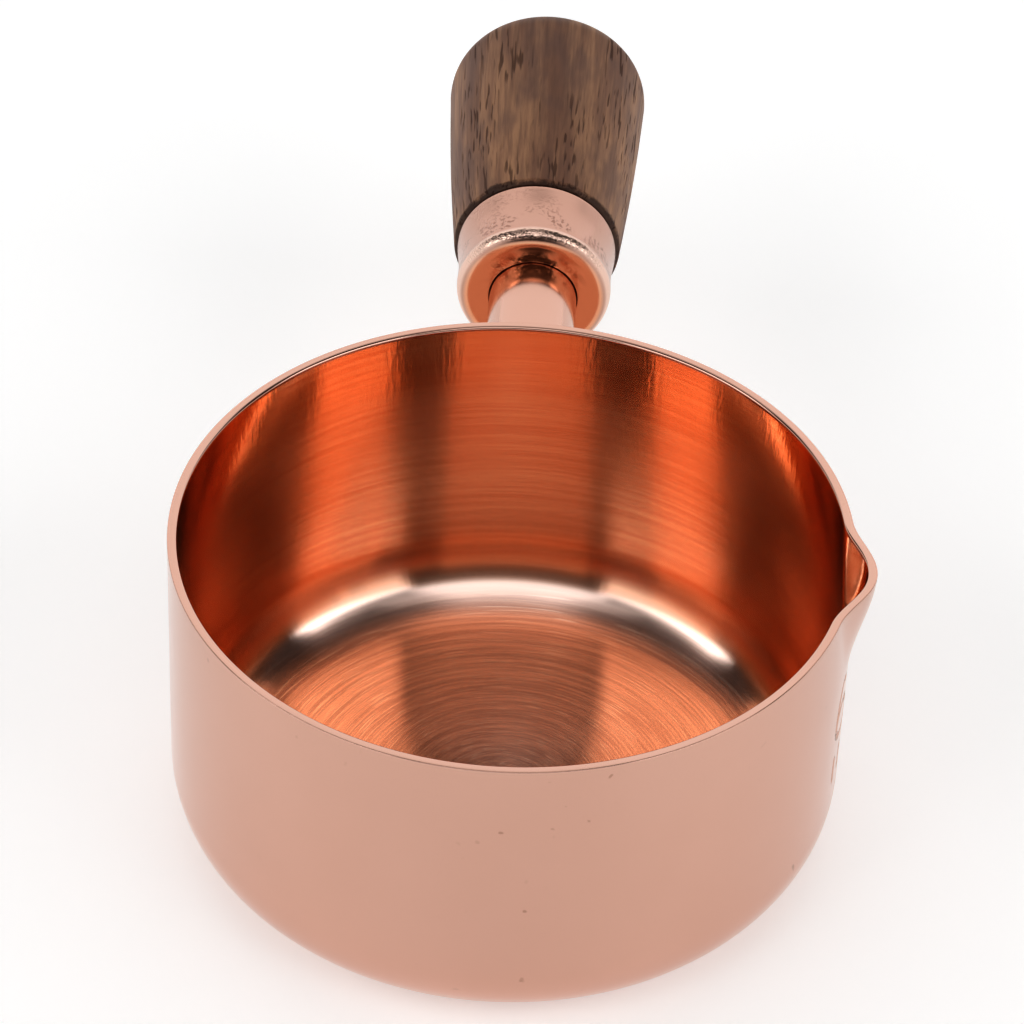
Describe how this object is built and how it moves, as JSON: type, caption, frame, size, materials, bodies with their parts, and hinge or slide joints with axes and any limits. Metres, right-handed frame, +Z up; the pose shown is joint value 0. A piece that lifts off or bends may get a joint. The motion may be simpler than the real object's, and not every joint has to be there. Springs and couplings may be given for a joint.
{
  "type": "bar jigger",
  "caption": "Small straight-walled measuring bowl for bar work, with a side pouring lip and a short round wooden grip that stands off the wall on a metal neck and ferrule.",
  "frame": {"origin": "on the bowl's axis, at the flat face that it rests on", "axes": "+Z up out of the bowl's mouth, +Y along the handle away from the bowl, +X towards the side with the pouring lip"},
  "size_m": [0.0564, 0.0997, 0.0319],
  "materials": {
    "polished_copper": "copper-plated stainless steel, mirror polished outside, satin and circumferentially brushed inside the bowl",
    "braze_metal": "plated-over braze, slightly dull",
    "walnut": "oiled walnut with dark open pores along the handle",
    "plain_steel": "bright zinc-plated steel",
    "insert_brass": "turned brass"
  },
  "bodies": {
    "root": {"bowl": "polished_copper", "neck_tube": "polished_copper", "braze_fillet": "braze_metal", "ferrule": "polished_copper", "wood_grip": "walnut", "neck_plug": "plain_steel", "tie_stud": "plain_steel", "seat_washer": "plain_steel", "grip_insert": "insert_brass"}
  },
  "joints": []
}
